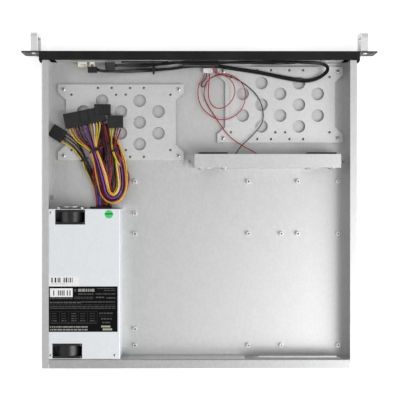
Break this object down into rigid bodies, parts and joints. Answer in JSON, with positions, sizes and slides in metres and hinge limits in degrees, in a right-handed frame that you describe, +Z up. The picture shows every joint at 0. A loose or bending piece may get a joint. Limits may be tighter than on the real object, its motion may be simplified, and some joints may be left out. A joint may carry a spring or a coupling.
{
  "type": "empty rackmount server case",
  "caption": "Open one-unit rackmount server case without lid or boards, with power supply, fans, drive trays, rack ears, handles and loose leads.",
  "frame": {"origin": "middle of the underside", "axes": "+Z up out of the open top, the front panel and handles face -Y, the rear faces +Y"},
  "size_m": [0.4826, 0.4573, 0.0437],
  "materials": {
    "case_metal": "bright galvanised sheet",
    "panel_black": "fine textured black paint",
    "handle_metal": "satin",
    "screw_metal": "plated",
    "supply_metal": "bright galvanised sheet",
    "guard_metal": "bright plated",
    "fan_plastic": "matt",
    "black_plastic": "matt",
    "cream_plastic": "satin",
    "clear_plastic": "clear",
    "circuit_board": "lacquered board",
    "lead_mixed": "insulation",
    "lead_yellow": "insulation",
    "lead_black": "insulation",
    "lead_red": "insulation"
  },
  "bodies": {
    "case": {"chassis_tub": "case_metal", "rear_panel": "case_metal", "slot_cover": "case_metal", "front_panel": "panel_black", "handle_left": "handle_metal", "handle_right": "handle_metal", "handle_screws": "screw_metal", "drive_tray_left": "case_metal", "drive_tray_right": "case_metal", "tray_posts": "screw_metal", "tray_screws": "screw_metal", "board_standoffs": "screw_metal", "stop_pin": "screw_metal", "fan_bracket": "case_metal", "bracket_screws": "screw_metal", "fan_screws": "screw_metal", "fan_left_frame": "fan_plastic", "fan_right_frame": "fan_plastic", "psu_fan_front_frame": "fan_plastic", "psu_fan_rear_frame": "fan_plastic", "psu_base": "supply_metal", "psu_cover": "supply_metal", "psu_cover_screws": "screw_metal", "psu_board": "circuit_board", "psu_inlet": "black_plastic", "psu_guard_front": "guard_metal", "psu_guard_rear": "guard_metal", "psu_guard_screws": "screw_metal", "psu_grommet": "black_plastic", "front_board": "circuit_board", "front_socket_left": "guard_metal", "front_socket_right": "guard_metal", "header_wide": "cream_plastic", "header_narrow": "cream_plastic", "switch_housing": "black_plastic", "light_pipes": "clear_plastic", "fan_connector": "cream_plastic", "main_lead": "lead_mixed", "drive_lead": "lead_yellow", "processor_lead": "lead_yellow", "front_lead": "lead_black", "fan_wire_black": "lead_black", "fan_wire_red": "lead_red", "light_wire_red": "lead_red", "board_connector": "black_plastic", "drive_connector": "black_plastic", "processor_connector": "black_plastic", "front_lead_plug": "black_plastic", "cable_ties": "black_plastic"},
    "fan_left_spinner": {"fan_left_rotor": "fan_plastic"},
    "fan_right_spinner": {"fan_right_rotor": "fan_plastic"},
    "psu_fan_front_spinner": {"psu_fan_front_rotor": "fan_plastic"},
    "psu_fan_rear_spinner": {"psu_fan_rear_rotor": "fan_plastic"},
    "power_switch": {"power_button": "black_plastic"},
    "reset_switch": {"reset_button": "black_plastic"}
  },
  "joints": [
    {"name": "fan_left_spin", "type": "hinge", "parent": "case", "child": "fan_left_spinner", "pos_m": [-0.0182, -0.0682, 0.0211], "axis": [0, 1, 0], "continuous": true},
    {"name": "fan_right_spin", "type": "hinge", "parent": "case", "child": "fan_right_spinner", "pos_m": [-0.1664, -0.0682, 0.0211], "axis": [0, 1, 0], "continuous": true},
    {"name": "psu_fan_front_spin", "type": "hinge", "parent": "case", "child": "psu_fan_front_spinner", "pos_m": [0.1754, 0.0098, 0.0211], "axis": [0, 1, 0], "continuous": true},
    {"name": "psu_fan_rear_spin", "type": "hinge", "parent": "case", "child": "psu_fan_rear_spinner", "pos_m": [0.1794, 0.1912, 0.0211], "axis": [0, 1, 0], "continuous": true},
    {"name": "power_press", "type": "slide", "parent": "case", "child": "power_switch", "axis": [0, 1, 0], "range_m": [0, 0.0015], "stiffness_N_per_m": 600},
    {"name": "reset_press", "type": "slide", "parent": "case", "child": "reset_switch", "axis": [0, 1, 0], "range_m": [0, 0.0015], "stiffness_N_per_m": 600}
  ]
}
